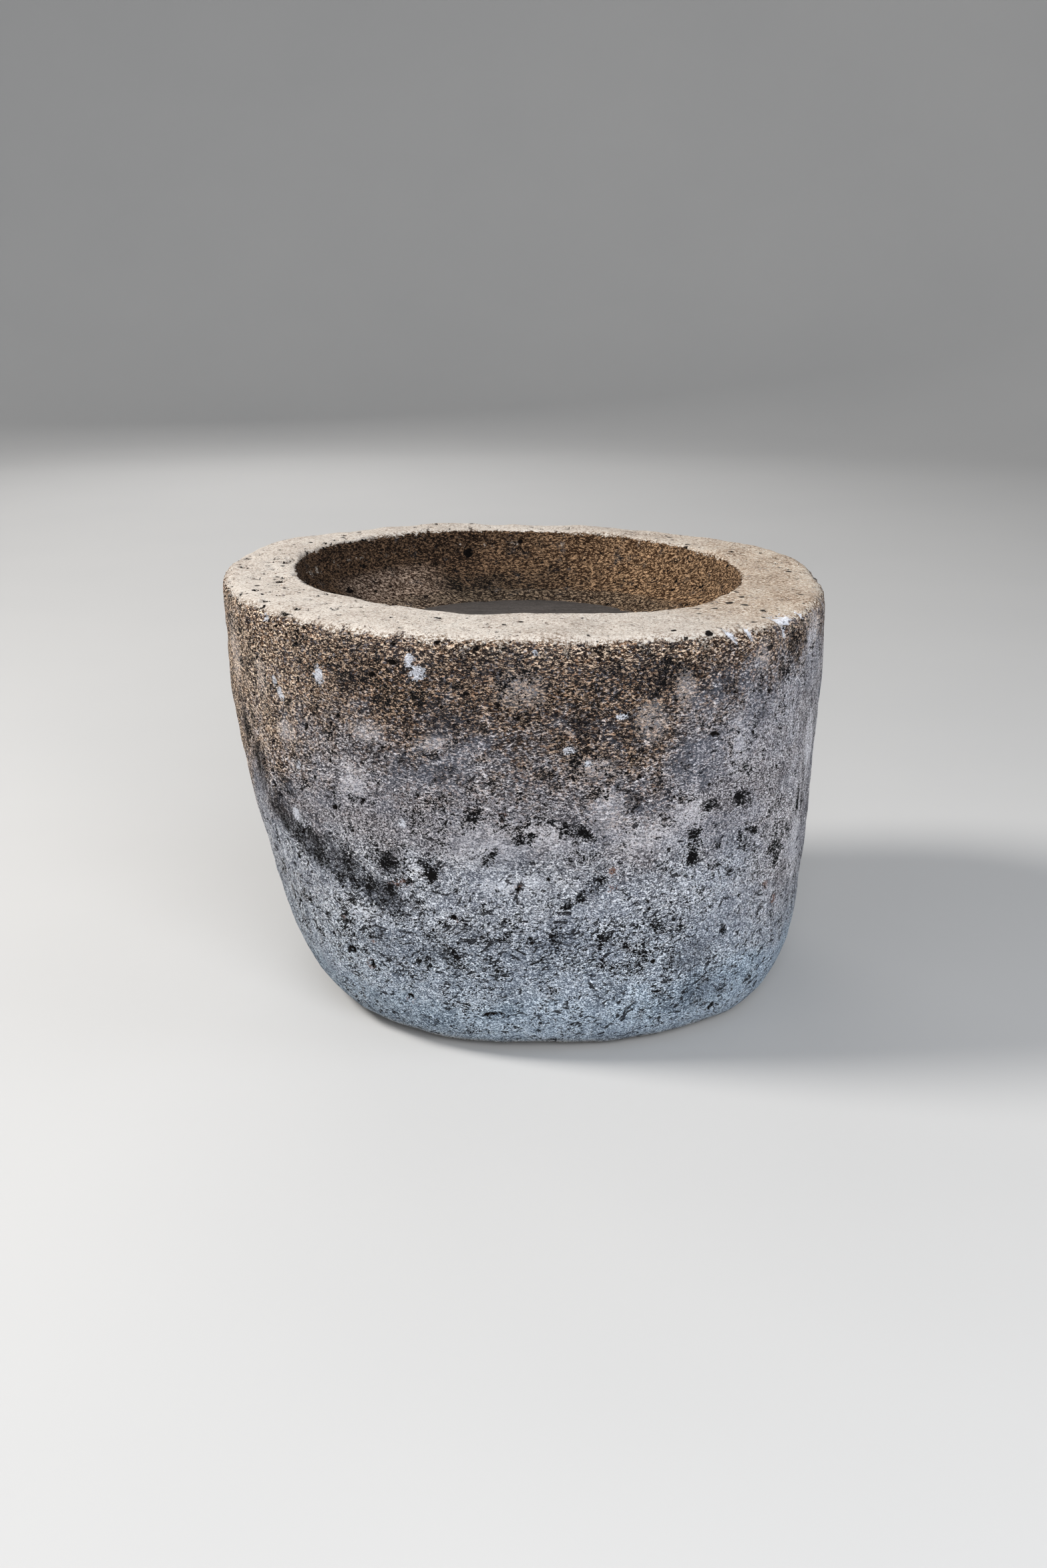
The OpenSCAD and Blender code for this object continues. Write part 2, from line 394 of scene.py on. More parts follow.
# ---------------------------------------------------------------------------
# Node graphs
# ---------------------------------------------------------------------------
class Graph:
    """One material's nodes, with a short way to add each kind."""

    SPOT_EDGE = 0.04            # in cell widths, as is the next
    SMALLEST_SPOT = 0.03

    def __init__(self, name):
        self.material = bpy.data.materials.new(name)
        self.material.use_nodes = True
        self.nodes = self.material.node_tree.nodes
        self.links = self.material.node_tree.links
        self.surface = self.nodes["Principled BSDF"]
        self.place = self.add("ShaderNodeTexCoord", {}, "Object")

    def set(self, socket, value):
        if isinstance(value, bpy.types.NodeSocket):
            self.links.new(value, socket)
        elif socket.type == "RGBA":
            socket.default_value = (*value[:3], 1)
        else:
            socket.default_value = value

    def add(self, kind, inputs, output=0, **settings):
        node = self.nodes.new(kind)
        for name, value in settings.items():
            setattr(node, name, value)
        for name, value in inputs.items():
            self.set(node.inputs[name], value)
        return node.outputs[output]

    def math(self, operation, *values):
        return self.add("ShaderNodeMath", dict(enumerate(values)), operation=operation)

    def times(self, *values):
        """The product of two or more values."""
        product = values[0]
        for value in values[1:]:
            product = self.math("MULTIPLY", product, value)
        return product

    def plus(self, total, value, share):
        """total + value * share"""
        return self.math("MULTIPLY_ADD", value, share, total)

    def sway(self, total, *waves):
        """total moved up and down by waves that run from 0 to 1, by each in all about its reach."""
        for wave, reach in waves:
            total = self.plus(total, self.math("SUBTRACT", wave, 0.5), reach)
        return total

    def step(self, value, low, high):
        """A smooth step from 0 at low to 1 at high, which may be the smaller."""
        inputs = {"Value": value, "From Min": low, "From Max": high}
        return self.add("ShaderNodeMapRange", inputs, interpolation_type="SMOOTHSTEP")

    def line(self, value, low, high, first=0.0, last=1.0):
        """A straight, clamped ramp from first at low to last at high."""
        inputs = {"Value": value, "From Min": low, "From Max": high, "To Min": first, "To Max": last}
        return self.add("ShaderNodeMapRange", inputs)

    def mix(self, share, first, second):
        """The second colour over the first, by its share."""
        node = self.nodes.new("ShaderNodeMix")
        node.data_type = "RGBA"
        for index, value in ((0, share), (6, first), (7, second)):
            self.set(node.inputs[index], value)
        return node.outputs[2]

    def value(self, name):
        return self.add("ShaderNodeAttribute", {}, "Fac", attribute_name=name)

    def colour(self, name):
        return self.add("ShaderNodeAttribute", {}, "Color", attribute_name=name)

    def mapped(self, place, scale=(1, 1, 1), turn=(0, 0, 0)):
        """A place scaled along each axis, which shrinks a pattern there, and then turned."""
        return self.add("ShaderNodeMapping", {"Vector": place, "Scale": scale, "Rotation": turn})

    def stretched(self, x, y, z):
        return self.mapped(self.place, (x, y, z))

    def bent(self, size, reach):
        """The place pushed about by soft noise, so that straight patterns wander."""
        wave = self.add("ShaderNodeTexNoise", {"Vector": self.place, "Scale": 1 / size}, "Color")
        centred = self.add("ShaderNodeVectorMath", {0: wave, 1: (0.5, 0.5, 0.5)}, operation="SUBTRACT")
        push = self.add("ShaderNodeVectorMath", {0: centred, "Scale": reach}, operation="SCALE")
        return self.add("ShaderNodeVectorMath", {0: self.place, 1: push}, operation="ADD")

    def noise(self, size, detail, place=None, roughness=0.6):
        """Soft noise from 0 to 1 with lumps about `size` across."""
        inputs = {"Vector": place or self.place, "Scale": 1 / size, "Detail": detail, "Roughness": roughness}
        return self.add("ShaderNodeTexNoise", inputs)

    def cells(self, size, output, place):
        """Cells about `size` across: the distance from their middles, or a chance colour for each."""
        return self.add("ShaderNodeTexVoronoi", {"Vector": place, "Scale": 1 / size}, output, feature="F1")

    def chance(self, size, channel, place):
        """A chance value from 0 to 1 for each cell."""
        return self.add("ShaderNodeSeparateColor", {"Color": self.cells(size, "Color", place)}, channel)

    def three_tones(self, level, tones):
        """Dark, middle or light by level."""
        dark, middle, light = tones
        low = self.mix(self.line(level, 0.05, 0.5), dark, middle)
        return self.mix(self.line(level, 0.5, 0.95), low, light)

    def two_palettes(self, share, first, second):
        """Three tones between those of two zones."""
        return [self.mix(share, one, other) for one, other in zip(first, second)]

    def spots(self, size, share, largest, channel, place, swell):
        """Round spots in a share of cells, up to the largest radius: 1 inside and 0 outside."""
        distance = self.cells(size, "Distance", place)
        chance = self.chance(size, channel, place)
        radius = self.times(self.line(chance, 1 - share, 1.0, 0.0, largest / size), swell)
        inside = self.step(self.math("SUBTRACT", distance, radius), self.SPOT_EDGE, -self.SPOT_EDGE)
        return self.times(inside, self.step(radius, self.SMALLEST_SPOT, 2 * self.SMALLEST_SPOT))

    def finish(self, colour, roughness, height, specular):
        """Joins the surface's colour, roughness and relief, whose height is in metres."""
        relief = self.add("ShaderNodeBump", {"Height": height, "Distance": 1.0, "Strength": 1.0}, "Normal")
        self.set(self.surface.inputs["Base Color"], colour)
        self.set(self.surface.inputs["Roughness"], roughness)
        self.set(self.surface.inputs["Normal"], relief)
        self.surface.inputs["Specular IOR Level"].default_value = specular
        return self.material


# ---------------------------------------------------------------------------
# The stone's material
# ---------------------------------------------------------------------------
# how large its patterns are
PATCH_SIZE = 45 * MM
MOTTLE_SIZE = 11 * MM
RAGGED_SIZE = 3.0 * MM
COARSE_GRAIN = 2.0 * MM
FINE_GRAIN = 1.2 * MM
HUED_GRAIN = 1.7 * MM
DUST_SIZE = 1.8 * MM
STREAK_SIZE = 6 * MM
COOL_PATCH_SIZE = 60 * MM
LICHEN_SIZE = 2.6 * MM
FLECK_SIZE = 1.5 * MM
CRACK_LENGTH = 6.5 * MM
CRACK_PATCH_SIZE = 12 * MM
PIT_SPACING = 5.5 * MM
PIT_RADIUS = 1.3 * MM
RIM_PIT_SPACING = 10 * MM
RIM_PIT_RADIUS = 2.4 * MM

# how high its fine relief is
FINE_GRAIN_RISE = 0.5 * MM
COARSE_GRAIN_RISE = 1.1 * MM
RIM_GRAIN_SHARE = 0.35
MOTTLE_RISE = 2.0 * MM
RAGGED_RISE = 1.0 * MM
RIM_RAGGED_RISE = 0.5 * MM
DUST_RISE = 0.5 * MM
PIT_RISE = -1.2 * MM
CRACK_RISE = -0.8 * MM
LIME_RISE = 0.3 * MM

# how far each colour covers what is under it
STAIN_COVER = 0.46
HAZE_COVER = 0.20
CRACK_COVER = 0.90
RUST_COVER = 0.6
LIME_COVER = 0.9

# the soft waves that bend a pattern: how large they are, and how far they push it
STREAK_BEND = (20 * MM, 8 * MM)
STROKE_BEND = (24 * MM, 16 * MM)
PIT_BEND = (3 * MM, 2 * MM)
RIM_PIT_BEND = (4 * MM, 5 * MM)

# the share of cells that hold a pit
PIT_CROWDING = 0.60
RIM_PIT_CROWDING = 0.75

GRAIN_FLATTENING = 1.4
STROKE_FLATTENING = 3.4
STROKE_EDGE = 0.018
SLANTING_STROKES = 38           # degrees
DRY_ROUGHNESS = 0.97
SMOOTH_ROUGHNESS = 0.82
STONE_SHINE = 0.08


class StoneGraph(Graph):
    """The stone's nodes, with the patterns that both its colour and its relief read."""

    def __init__(self):
        super().__init__("weathered_stone")
        self.flat = self.stretched(1, 1, GRAIN_FLATTENING)
        self.patches = self.noise(PATCH_SIZE, 3.0)
        self.mottle = self.noise(MOTTLE_SIZE, 3.0)
        self.ragged = self.noise(RAGGED_SIZE, 4.0, roughness=0.8)
        self.dust = self.noise(DUST_SIZE, 3.0, roughness=0.9)
        self.coarse = self.grains(COARSE_GRAIN, self.mapped(self.flat, (0.7, 1, 1.2), (0, 0.6, 0)), 7.0)
        self.coarse_share = self.value("grainy")
        self.speckle = self.speckles()
        self.brown = self.brown_share()
        self.haze = self.line(self.crumbled("haze", 1.6, 1.2), 0.2, 1.0)
        self.dark = self.line(self.crumbled("dark", 2.0, 2.4), 0.15, 1.0)
        self.level = self.wall_level()
        self.crack = self.cracks()
        self.rim = self.rim_share()
        self.lime = self.step(self.sway(self.value("lime"), (self.ragged, 3.0)), 0.16, 0.30)
        self.pit = self.pits()

    def crumbled(self, name, mottle_reach, ragged_reach):
        """A soft mask whose edge is broken up by the mottle and the ragged noise."""
        return self.sway(self.value(name), (self.mottle, mottle_reach), (self.ragged, ragged_reach))

    def grains(self, size, place, contrast):
        """Ragged grains up to `size` across, from 0 for a dark gap to 1 for a pale grain. The relief sinks
        in the gaps, so their dark is partly the stone's dark grains and partly painted shade.
        """
        return self.sway(0.5, (self.noise(size, 2.0, place, 0.95), contrast))

    def speckles(self):
        """Coarse grains where the stone is rough, and fine ones where it is smooth."""
        fine = self.grains(FINE_GRAIN, self.flat, 5.2)
        coarse_part = self.times(self.coarse, self.coarse_share)
        return self.plus(coarse_part, fine, self.math("SUBTRACT", 1.0, self.coarse_share))

    def brown_share(self):
        """Where the wall is weathered brown: 1 there and 0 where it is grey."""
        soft = self.sway(self.value("brown"), (self.mottle, 0.9), (self.patches, 0.6), (self.ragged, 1.6))
        return self.step(soft, 0.15, 0.85)

    def wall_level(self):
        """How pale the wall's grains are. Brighter and darker regions move the share of pale ones. Where the
        grain, mottle and ragged noise lower the relief, the wall is darker, partly as painted shade in its
        hollows.
        """
        level = self.sway(self.speckle, (self.patches, 0.8), (self.mottle, 1.1), (self.ragged, 0.5))
        streaks = self.noise(STREAK_SIZE, 2.0, self.mapped(self.bent(*STREAK_BEND), (1, 1, 0.45)))
        level = self.plus(level, self.sway(0.0, (streaks, 0.9)), self.value("streaky"))
        level = self.plus(level, self.haze, 0.25)
        return self.plus(level, self.dark, -0.32)

    def strokes(self, cover, lean):
        """Short wandering strokes that lie mostly along the wall: 1 on them and 0 between."""
        turned = self.mapped(self.bent(*STROKE_BEND), turn=(0, math.radians(lean), 0))
        place = self.mapped(turned, (1, 1, STROKE_FLATTENING))
        return self.step(self.noise(CRACK_LENGTH, 2.5, place, 0.62), cover, cover + STROKE_EDGE)

    def cracks(self):
        """Dark chisel strokes and cracks: 1 in them and 0 between."""
        lines = self.math("MAXIMUM", self.strokes(0.592, 0), self.strokes(0.598, SLANTING_STROKES))
        crowded = self.sway(self.value("crackle"), (self.noise(CRACK_PATCH_SIZE, 2.0), 3.0))
        return self.times(lines, self.step(crowded, 0.24, 0.29))

    def rim_share(self):
        """The rim's worn top, which frays into the wall: 1 there and 0 elsewhere."""
        frayed = self.sway(self.value("rim"), (self.ragged, 3.0), (self.mottle, 2.2))
        return self.times(self.step(frayed, 0.44, 0.52), self.step(self.value("rim"), 0.0, 0.08))

    def pits(self):
        """The stone's small open pits, of the wall and of the rim: 1 in them and 0 between. The relief sinks
        there, and the colour gets painted shade.
        """
        wall_pits = self.spots(PIT_SPACING, PIT_CROWDING, PIT_RADIUS, "Blue",
                               self.bent(*PIT_BEND), self.value("porous"))
        rim_pits = self.spots(RIM_PIT_SPACING, RIM_PIT_CROWDING, RIM_PIT_RADIUS, "Red",
                              self.bent(*RIM_PIT_BEND), self.rim)
        return self.math("MAXIMUM", wall_pits, rim_pits)

    def hued_grains(self, colour):
        """Chance grains of other hues over a colour, most where the wall is brown."""
        tint = self.chance(HUED_GRAIN, "Green", self.flat)
        hued = self.times(self.value("orange"), self.line(self.level, 0.1, 0.6, 0.1, 0.75))
        colour = self.mix(self.times(self.step(tint, 0.84, 0.88), hued), colour, ORANGE_GRAIN)
        return self.mix(self.times(self.step(tint, 0.14, 0.10), hued), colour, BLUISH_GRAIN)

    def wall_colour(self):
        """The grains of each zone, under stains, haze, a cool tint and cracks."""
        zone = [self.colour(name) for name in TONE_NAMES]
        brown_zone = self.two_palettes(self.value("tan"), BROWN_WALL, TAN_WALL)
        grey = self.three_tones(self.level, zone)
        colour = self.hued_grains(self.mix(self.brown, grey, self.three_tones(self.level, brown_zone)))
        colour = self.mix(self.times(self.dark, STAIN_COVER), colour, STAIN)
        colour = self.mix(self.times(self.haze, HAZE_COVER), colour, HAZE)
        cool = self.step(self.noise(COOL_PATCH_SIZE, 3.0, self.stretched(1, 1, 2)), 0.42, 0.62)
        cool = self.times(cool, self.value("outside"), self.line(self.brown, 0, 1, 0.16, 0.04))
        colour = self.mix(cool, colour, COOL_TINT)
        return self.mix(self.times(self.crack, CRACK_COVER), colour, CRACK)

    def rim_colour(self):
        """Pale dust on the rim's top, with more of the stone's grain where it is uneven."""
        dusty = self.value("rim_dust")
        level = self.sway(0.60, (self.dust, 2.6), (self.patches, 0.8))
        level = self.plus(level, self.sway(0.0, (self.coarse, 0.75)), dusty)
        level = self.plus(level, dusty, -0.22)
        return self.three_tones(level, self.two_palettes(self.value("coarse_rim"), CREAM_RIM, TAN_RIM))

    def lichen(self):
        """Black lichen in spots and in smaller flecks: 1 on it and 0 between."""
        bias = self.value("black_bias")
        spot = self.noise(LICHEN_SIZE, 3.0, self.flat, 0.85)
        spot = self.sway(spot, (self.mottle, 0.40), (self.patches, 0.30))
        spot = self.plus(self.plus(spot, bias, 1.0), self.rim, -0.10)
        fleck = self.noise(FLECK_SIZE, 2.0, self.stretched(1, 1, 1.7), 0.8)
        fleck = self.sway(fleck, (self.mottle, 0.5), (self.patches, 0.3))
        fleck = self.plus(self.plus(fleck, bias, 1.2), self.rim, -0.16)
        return self.math("MAXIMUM", self.step(spot, 0.600, 0.618), self.step(fleck, 0.600, 0.630))

    def marked(self, colour):
        """Rust stains, lime spots, black lichen, and painted shade in the open pits and holes, over a
        colour.
        """
        rust = self.step(self.sway(self.value("rust"), (self.ragged, 6.0)), 0.30, 0.60)
        colour = self.mix(self.times(rust, RUST_COVER), colour, RUST)
        lime_colour = self.mix(self.dust, LIME_SHADE, LIME_LIGHT)
        colour = self.mix(self.times(self.lime, LIME_COVER), colour, lime_colour)
        colour = self.mix(self.lichen(), colour, LICHEN)
        # painted shade in the pits and the holes
        hole = self.step(self.sway(self.value("hole"), (self.ragged, 6.0)), 0.0, 0.5)
        return self.mix(self.math("MAXIMUM", self.pit, hole), colour, OPENING_PAINTED_SHADE)

    def relief(self):
        """The height of the fine relief, in metres. The colour is paler where the grain, mottle, ragged
        noise and dust raise it, so its low places carry painted shade besides the stone's own dark grains.
        """
        grain_rise = self.line(self.coarse_share, 0, 1, FINE_GRAIN_RISE, COARSE_GRAIN_RISE)
        grain_rise = self.times(grain_rise, self.line(self.rim, 0, 1, 1.0, RIM_GRAIN_SHARE))
        height = self.times(self.line(self.speckle, 0.0, 1.0), grain_rise)
        height = self.plus(height, self.mottle, MOTTLE_RISE)
        height = self.plus(height, self.ragged, self.line(self.rim, 0, 1, RAGGED_RISE, RIM_RAGGED_RISE))
        height = self.plus(height, self.dust, DUST_RISE)
        height = self.plus(height, self.pit, PIT_RISE)
        height = self.plus(height, self.crack, CRACK_RISE)
        return self.plus(height, self.lime, LIME_RISE)


def stone_material():
    """Weathered volcanic stone."""
    graph = StoneGraph()
    colour = graph.marked(graph.mix(graph.rim, graph.wall_colour(), graph.rim_colour()))
    roughness = graph.line(graph.level, 0.0, 1.0, DRY_ROUGHNESS, SMOOTH_ROUGHNESS)
    roughness = graph.plus(roughness, graph.rim, -0.06)
    return graph.finish(colour, roughness, graph.relief(), STONE_SHINE)


# ---------------------------------------------------------------------------
# The other materials
# ---------------------------------------------------------------------------
BED_GRAIN = 2.0 * MM
BED_GRAIN_RISE = 0.4 * MM
BED_STREAKS = 9 * MM
BED_STREAK_RISE = 1.0 * MM
BED_PATCHES = 50 * MM
BED_SHINE = 0.3

PAPER_CLOUDS = 0.4
PAPER_RISE = 1.0 * MM
PAPER_DARK = (0.39, 0.39, 0.39)
PAPER_LIGHT = (0.42, 0.418, 0.415)
PAPER_ROUGHNESS = 0.9
PAPER_SHINE = 0.2


def bed_material():
    """Fine grey silt, worn in streaks, with a crust of brown dust round its edge."""
    graph = Graph("grey_bed")
    fine = graph.noise(BED_GRAIN, 2.0, roughness=0.7)
    streaks = graph.noise(BED_STREAKS, 3.0, graph.stretched(0.35, 1.6, 1.0))
    patches = graph.noise(BED_PATCHES, 2.0)
    level = graph.sway(0.5, (fine, 1.2), (streaks, 1.0), (patches, 0.6))
    crust = graph.step(graph.sway(graph.value("crust"), (fine, 1.2)), 0.3, 0.7)
    colour = graph.mix(crust, graph.three_tones(level, BED_TOP), graph.three_tones(level, BED_CRUST))
    height = graph.plus(graph.times(fine, BED_GRAIN_RISE), streaks, BED_STREAK_RISE)
    return graph.finish(colour, graph.line(level, 0, 1, 0.92, 0.78), height, BED_SHINE)


def studio_material():
    """Pale matt paper."""
    graph = Graph("studio_paper")
    soft = graph.noise(PAPER_CLOUDS, 2.0)
    colour = graph.mix(soft, PAPER_DARK, PAPER_LIGHT)
    return graph.finish(colour, PAPER_ROUGHNESS, graph.times(soft, PAPER_RISE), PAPER_SHINE)


# ---------------------------------------------------------------------------
# The stone
# ---------------------------------------------------------------------------
class Stone:
    """The stone's points before they are moved, and what lies where on them."""

    def __init__(self, mesh):
        self.wall = Wall(mesh)
        self.points = self.wall.points
        self.normals = read_normals(mesh)
        self.radius = np.hypot(self.points[:, 0], self.points[:, 1])
        away = self.normals[:, 0] * self.points[:, 0] + self.normals[:, 1] * self.points[:, 1]
        self.outward = away / np.maximum(self.radius, MM)
        self.upward = self.normals[:, 2]
        self.azimuth = np.degrees(np.arctan2(self.points[:, 1], self.points[:, 0]))
        self.height = self.points[:, 2]
        self.share = self.height / stone_height
        self.broad = self.lumps(BROAD_LUMPS, seed=1, octaves=3)
        self.middling = self.lumps(MIDDLING_LUMPS, seed=2, octaves=3)
        self.find_faces()
        self.find_zones()
        self.find_marks()
        self.find_openings()

    def lumps(self, size, seed, octaves):
        return lumps(self.points, size, seed, octaves)

    def round(self, line):
        """The value of a line round the stone at each point's azimuth."""
        degrees = [place[0] for place in line]
        values = [place[1] for place in line]
        return np.interp(self.azimuth, degrees, values, period=360)

    def rim_height(self):
        """How high the rim stands at each point's azimuth."""
        sector = np.digitize(self.azimuth, np.arange(-180, 180, RIM_SECTOR)) - 1
        heights = [self.height[sector == index].max() for index in range(360 // RIM_SECTOR)]
        return np.array(heights)[sector]

    def find_faces(self):
        """The rim's top, the hollow, the underside and the outer wall, each a weight from 0 to 1."""
        self.top = ease(0.25, 0.85, self.upward) * ease(0.935, 0.955, self.share)
        self.below_rim = self.rim_height() - self.height
        self.inner = ease(0.0, 0.3, -self.outward) * (self.height > bed_high.z - HOLLOW_MARGIN)
        self.under = ease(0.6, 0.9, -self.upward)
        self.outer = 1 - np.maximum(self.inner, self.under)
        near_bed = np.exp(-((self.height - bed_high.z) / BORDER_HEIGHT) ** 2)
        self.bed_border = near_bed * (self.outward < 0.1) * (self.radius < bed_radius * BORDER_REACH)

    def find_zones(self):
        """The zones of the weathering, each a weight from 0 to 1."""
        self.left = self.round(LEFT_SIDE)
        self.right = self.round(RIGHT_SIDE)
        weather = self.share - self.round(WEATHER_LINE) + 0.06 * self.broad + 0.06 * self.middling
        self.brown = ease(-0.16, 0.28, weather) * self.outer
        self.bottom = 1 - ease(-0.06, 0.05, self.share - self.round(BOTTOM_LINE) + 0.03 * self.middling)
        self.low_wall = ease(0.55, 0.40, self.share + 0.05 * self.middling) * self.outer
        roughness = np.clip(0.25 + 0.75 * self.brown + 0.3 * self.left + 0.8 * self.inner, 0, 1)
        self.rough = roughness * (1 - 0.8 * self.top)

    def find_marks(self):
        self.lime = self.wall.marks(LIME_MARKS)
        self.holes = self.wall.marks(HOLES)
        self.crackle = self.wall.marks(CRACKLE_MARKS)
        self.haze = self.wall.marks(HAZE_MARKS)
        self.band = self.wall.marks(BAND_MARKS)

    def find_openings(self):
        """How far inside a bubble each point lies, and how deep the bubble cuts in there."""
        pore_size = (0.45 + 0.15 * self.left) * self.outer + 0.5 * self.inner
        pore_size = pore_size * (1 - self.top) * (1 - 0.6 * self.bottom) + self.top * self.round(RIM_WEAR)
        pore_inside, pore_depth = bubbles(self.points, PORE_SPACING, seed=5, swell=pore_size)
        cave_size = self.inner * (1 - self.top)
        cave_inside, cave_depth = bubbles(self.points, CAVE_SPACING, seed=6, swell=cave_size)
        self.bubble_inside = np.maximum(pore_inside, cave_inside)
        self.bubble_depth = np.maximum(pore_depth, cave_depth)

    def relief(self):
        """How far each point moves out along its normal."""
        rise = BROAD_RISE * (self.broad - 0.5) * (1 + 0.8 * self.top) + MIDDLING_RISE * self.middling
        rise += SMALL_RISE * self.lumps(SMALL_LUMPS, seed=3, octaves=2) * self.rough
        rise += TINY_RISE * self.lumps(TINY_LUMPS, seed=4, octaves=1) * self.rough
        chips = np.maximum(self.lumps(EDGE_CHIPS, seed=7, octaves=2), 0)
        chips += 0.5 * self.lumps(EDGE_CRUMBS, seed=8, octaves=2)
        rise -= EDGE_WEAR * 4 * self.top * (1 - self.top) * chips
        border = BORDER_RISE + BORDER_UNEVENNESS * self.lumps(BORDER_LUMPS, seed=9, octaves=3)
        rise += self.bed_border * border
        rise -= CHIP_DEPTH * ease(-0.2, 0.5, self.lime) * ease(0.93, 0.95, self.share)
        rise -= np.clip(self.bubble_depth, HOLE_DEPTH * ease(0, 0.6, self.holes), DEEPEST_OPENING)
        return rise

    def moved_points(self):
        """The points of the rough stone, none of them outside the CAD box."""
        moved = self.points + self.normals * self.relief()[:, None]
        return np.clip(moved, np.array(cad_box[0]), np.array(cad_box[1]))

    def tones(self):
        """Each point's dark, middle and light tone: the zones' palettes, one over another."""
        # how much painted light the hollow's wall gets at each point's azimuth
        inner_painted_light_side = self.round(INNER_RIGHT_SIDE)
        # where the hollow's lower wall gets painted shade
        low_inside_painted_shade = self.inner * ease(0.90, 0.86, self.share + 0.03 * self.middling)
        patch = self.round(INNER_PATCH_SIDE) * ease(0.92, 0.89, self.share)
        zones = [(LOWER_WALL, self.low_wall),
                 (CRACKLE_WALL, ease(0, 0.5, self.crackle)),
                 # painted light on the right side of the outer wall
                 (RIGHT_WALL_PAINTED_LIGHT, self.right),
                 (BOTTOM_WALL, np.maximum(self.bottom, 0.6 * ease(0.40, 0.12, self.share))),
                 (UNDERSIDE, self.under),
                 # the hollow's brown stone, with painted shade
                 (INNER_WALL_AND_PAINTED_SHADE, self.inner),
                 # painted light on the hollow's wall where it faces the light from the left
                 (INNER_RIGHT_PAINTED_LIGHT, self.inner * inner_painted_light_side),
                 # painted shade low in the hollow, except on the side that faces the light
                 (INNER_LOW_PAINTED_SHADE, low_inside_painted_shade * (1 - inner_painted_light_side)),
                 (INNER_PATCH, np.clip(self.inner * patch + 0.3 * self.middling * patch, 0, 1)),
                 (BED_CRUST, 0.7 * self.bed_border)]
        tones = np.repeat(GREY_WALL[None, :, :], len(self.points), axis=0)
        for zone_palette, share in zones:
            tones = tones + (zone_palette - tones) * share[:, None, None]
        return tones

    def black_bias(self):
        """How much more or less black lichen there is than on the plain wall."""
        bias = 0.01 * self.low_wall + 0.03 * self.brown + 0.065 * ease(-0.4, 0.8, self.band)
        bias += 0.02 * ease(-0.6, 0.5, self.crackle)
        bias -= 0.03 * self.bottom + 0.10 * self.under + 0.02 * self.inner
        bias -= 0.03 * ease(0, 1, self.haze)
        bias += 0.13 * ease(-0.5, 0.5, self.wall.marks(BLACK_MARKS))
        return bias - 0.01

    def chiselled(self):
        """How crowded the chisel strokes are."""
        crowded = 0.80 * ease(-0.7, 0.4, self.crackle) + 0.18 * self.low_wall + 0.14 * self.bottom
        return crowded - 0.3 * self.inner - 0.3 * self.under

    def masks(self):
        """The soft masks that the material reads and sharpens with noise, by name."""
        top, inner = self.top, self.inner
        fringe = np.maximum(0.45 * ease(FRINGE_END, FRINGE_FULL, self.below_rim) * self.outer, top)
        under_rim = ease(DUST_END, DUST_FULL, self.below_rim) * self.outer
        coarse_rim = self.round(COARSE_RIM_SIDE)
        rim_dust = 0.25 * coarse_rim + ease(0.95, 0.55, self.upward) + 0.3 * self.middling
        patches = 0.6 * ease(-0.5, 0.8, self.wall.marks(DARK_MARKS))
        porous = np.clip(0.45 + 0.55 * inner + 0.2 * self.brown, 0, 1)
        hued = np.clip(0.15 + 0.85 * self.brown, 0, 1)
        return {
            "rim": 0.5 * fringe + 0.5 * top,
            "coarse_rim": coarse_rim,
            "rim_dust": np.clip(rim_dust, 0, 1),
            "brown": self.brown,
            "tan": np.maximum(0.8 * self.left, 0.5 * under_rim),
            "haze": ease(-0.4, 0.8, self.haze),
            "dark": np.maximum(patches, ease(-0.5, 0.7, self.band)),
            "outside": self.outer,
            "black_bias": self.black_bias(),
            "lime": self.lime,
            "rust": self.wall.marks(RUST_MARKS),
            "crackle": self.chiselled(),
            "orange": hued * (1 - self.bottom) * (1 - 0.85 * inner),
            "porous": porous * (1 - 0.5 * top * (1 - self.left)),
            "streaky": np.maximum(self.left, self.right) * self.outer * (1 - top) * (1 - self.bottom),
            "grainy": self.rough,
            # the holes, where the material paints shade inside them
            "hole": np.maximum(self.bubble_inside / MM, self.holes * 2),
        }


def make_stone():
    stone = fine_copy(STONE_NODE, "stone_mortar")
    mesh = stone.data
    zones = Stone(mesh)
    tones = zones.tones()
    write_points(mesh, zones.moved_points())
    for index, name in enumerate(TONE_NAMES):
        write_colour(mesh, name, tones[:, index])
    for name, values in zones.masks().items():
        write_value(mesh, name, values)
    mesh.shade_smooth()
    mesh.materials.append(stone_material())
    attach(stone, "root")
    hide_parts(STONE_NODE)


# ---------------------------------------------------------------------------
# The bed
# ---------------------------------------------------------------------------
def make_bed():
    bed = fine_copy(BED_NODE, "grey_floor_bed")
    mesh = bed.data
    points = read_points(mesh)
    from_middle = np.hypot(points[:, 0] - bed_middle.x, points[:, 1] - bed_middle.y)
    facing_up = points[:, 2] > bed_high.z - BED_SKIN
    ridges = lumps(points, BED_RIDGES, seed=11, octaves=2, stretch=(0.3, 1.4, 1))
    uneven = 0.03 * lumps(points, BED_LIP_LUMPS, seed=12, octaves=2)
    lip = ease(0.84, 0.97, from_middle / bed_radius + uneven)
    drop = (BED_WEAR + BED_RIDGE_RISE * ridges) * (1 - lip)
    points[:, 2] -= np.where(facing_up, np.maximum(drop, 0), 0)
    write_points(mesh, points)
    write_value(mesh, "crust", lip)
    mesh.shade_smooth()
    mesh.materials.append(bed_material())
    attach(bed, "root")
    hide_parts(BED_NODE)


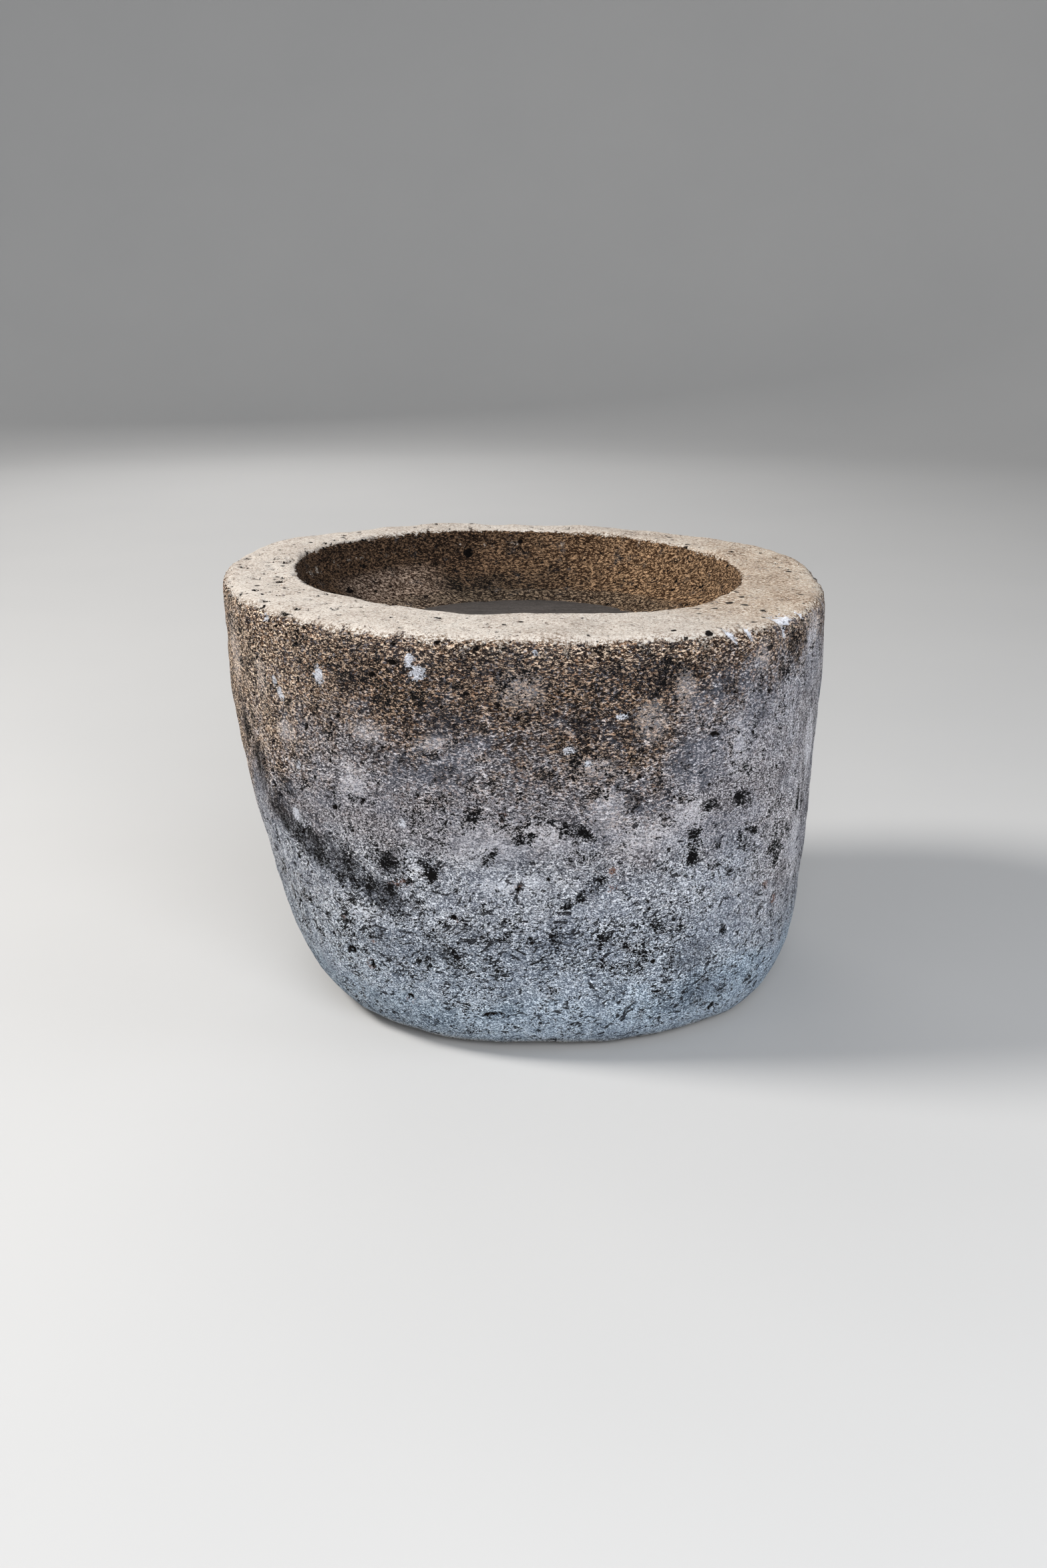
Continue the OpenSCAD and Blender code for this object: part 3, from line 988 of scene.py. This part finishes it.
# ---------------------------------------------------------------------------
# Studio
# ---------------------------------------------------------------------------
FLOOR_FLAT_RADIUS = 2.6
FLOOR_FLAT_RINGS = 4
FLOOR_BEND_RADIUS = 1.4
FLOOR_BEND_STEPS = 16
FLOOR_SEGMENTS = 96

# name, place, size across, power in watts, colour
LIGHTS = [("key_light", (-1.75, -0.10, 1.80), 0.7, 80, (1.0, 0.97, 0.93)),
          ("back_fill", (-0.5, 2.3, 1.2), 1.6, 18, (1.0, 0.98, 0.96)),
          ("side_fill", (2.3, -0.4, 0.75), 1.2, 20, (0.86, 0.92, 1.0)),
          ("front_fill", (0.5, -2.0, 0.9), 1.8, 62, (0.95, 0.97, 1.0))]
AIR_COLOUR = (0.93, 0.96, 1.0, 1)
AIR_STRENGTH = 0.36

CAMERA_PLACE = (0, -1.300, 0.533)
CAMERA_TARGET = (0, 0, 0.124)
SENSOR_HEIGHT_MM = 36
LENS_MM = 45.05


def floor_profile():
    """The floor's radius and height from near its middle to its raised edge."""
    profile = [(FLOOR_FLAT_RADIUS * ring / FLOOR_FLAT_RINGS, 0.0) for ring in range(1, FLOOR_FLAT_RINGS + 1)]
    for step in range(1, FLOOR_BEND_STEPS + 1):
        turn = math.pi / 2 * step / FLOOR_BEND_STEPS
        profile.append((FLOOR_FLAT_RADIUS + FLOOR_BEND_RADIUS * math.sin(turn),
                        FLOOR_BEND_RADIUS * (1 - math.cos(turn))))
    profile.append((FLOOR_FLAT_RADIUS + FLOOR_BEND_RADIUS, 2 * FLOOR_BEND_RADIUS))
    return profile


def floor_ring(shape, radius, height):
    """A level ring of corners."""
    turns = [2 * math.pi * index / FLOOR_SEGMENTS for index in range(FLOOR_SEGMENTS)]
    return [shape.verts.new((radius * math.cos(turn), radius * math.sin(turn), height)) for turn in turns]


def make_studio():
    """A pale paper floor that bends up far away on all sides."""
    shape = bmesh.new()
    middle = shape.verts.new((0, 0, 0))
    rings = [floor_ring(shape, radius, height) for radius, height in floor_profile()]
    for index in range(FLOOR_SEGMENTS):
        after = (index + 1) % FLOOR_SEGMENTS
        shape.faces.new((middle, rings[0][index], rings[0][after]))
        for low_ring, high_ring in zip(rings, rings[1:]):
            shape.faces.new((low_ring[index], high_ring[index], high_ring[after], low_ring[after]))
    mesh = bpy.data.meshes.new("studio_floor")
    shape.to_mesh(mesh)
    shape.free()
    mesh.shade_smooth()
    mesh.materials.append(studio_material())
    link("studio_floor", mesh)


def aim(thing, place, target):
    """Puts a camera or a light at a place, looking at a target."""
    thing.location = place
    thing.rotation_euler = (Vector(target) - Vector(place)).to_track_quat("-Z", "Y").to_euler()


def add_light(name, place, size, power, colour):
    lamp = bpy.data.lights.new(name, "AREA")
    lamp.shape = "DISK"
    lamp.size = size
    lamp.energy = power
    lamp.color = colour
    aim(link(name, lamp), place, (0, 0, stone_height / 2))


def add_air():
    """Soft light from all round."""
    world = bpy.data.worlds.new("studio_air")
    bpy.context.scene.world = world
    world.use_nodes = True
    background = world.node_tree.nodes["Background"]
    background.inputs["Color"].default_value = AIR_COLOUR
    background.inputs["Strength"].default_value = AIR_STRENGTH


def add_camera():
    lens = bpy.data.cameras.new("camera")
    lens.sensor_fit = "VERTICAL"
    lens.sensor_height = SENSOR_HEIGHT_MM
    lens.lens = LENS_MM
    holder = link("camera", lens)
    aim(holder, CAMERA_PLACE, CAMERA_TARGET)
    bpy.context.scene.camera = holder


make_stone()
make_bed()
make_studio()
for light in LIGHTS:
    add_light(*light)
add_air()
add_camera()
bpy.context.scene.view_settings.view_transform = "Standard"
